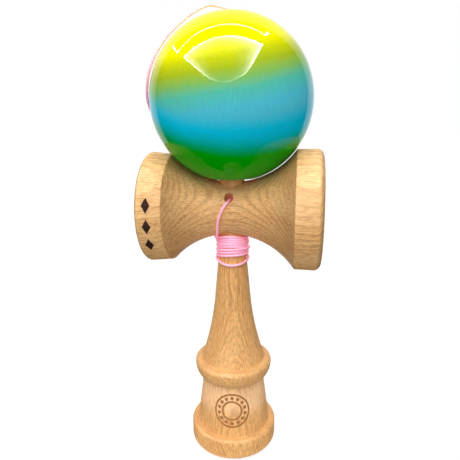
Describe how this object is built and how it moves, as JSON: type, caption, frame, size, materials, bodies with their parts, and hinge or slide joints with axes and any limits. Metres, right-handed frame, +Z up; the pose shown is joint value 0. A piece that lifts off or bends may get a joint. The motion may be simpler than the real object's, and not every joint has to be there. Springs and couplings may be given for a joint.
{
  "type": "kendama",
  "caption": "Turned beech cup-and-ball skill toy: a spiked handle with a base cup, a cross piece with a cup at each end, and a glossy drilled ball tied on by a wound string.",
  "frame": {"origin": "centre of the base ring, on the surface that the toy stands on", "axes": "+Z up the handle to the ball, +X along the cross piece to the big cup, -Y to the front with the string's hole"},
  "size_m": [0.0669, 0.06, 0.1757],
  "materials": {
    "beech_handle": "turned and sanded beech, grain along the handle",
    "beech_cross": "turned and sanded beech, grain along the cross piece",
    "ball_lacquer": "clear gloss lacquer over a sprayed yellow, blue and green fade",
    "bead": "satin moulded bead",
    "string": "fine braided pink cord"
  },
  "bodies": {
    "handle": {"ken_handle": "beech_handle", "sarado_cups": "beech_cross", "anchor_knot": "string", "string_lead": "string", "string_winding": "string", "string_rise": "string"},
    "string_end": {"string_over_ball": "string", "bead_knot": "string"},
    "bead": {"swivel_bead": "bead"},
    "ball": {"tama_ball": "ball_lacquer"}
  },
  "joints": [
    {"name": "tama_lift", "type": "slide", "parent": "handle", "child": "string_end", "axis": [0, 0, 1], "range_m": [0, 0.04], "deforming": ["string_rise"]},
    {"name": "tama_spin", "type": "hinge", "parent": "string_end", "child": "ball", "pos_m": [0, 0, 0.1431], "axis": [0, 0, 1], "continuous": true},
    {"name": "bead_spin", "type": "hinge", "parent": "string_end", "child": "bead", "pos_m": [0, 0, 0.1546], "axis": [0, 0, 1], "continuous": true}
  ]
}
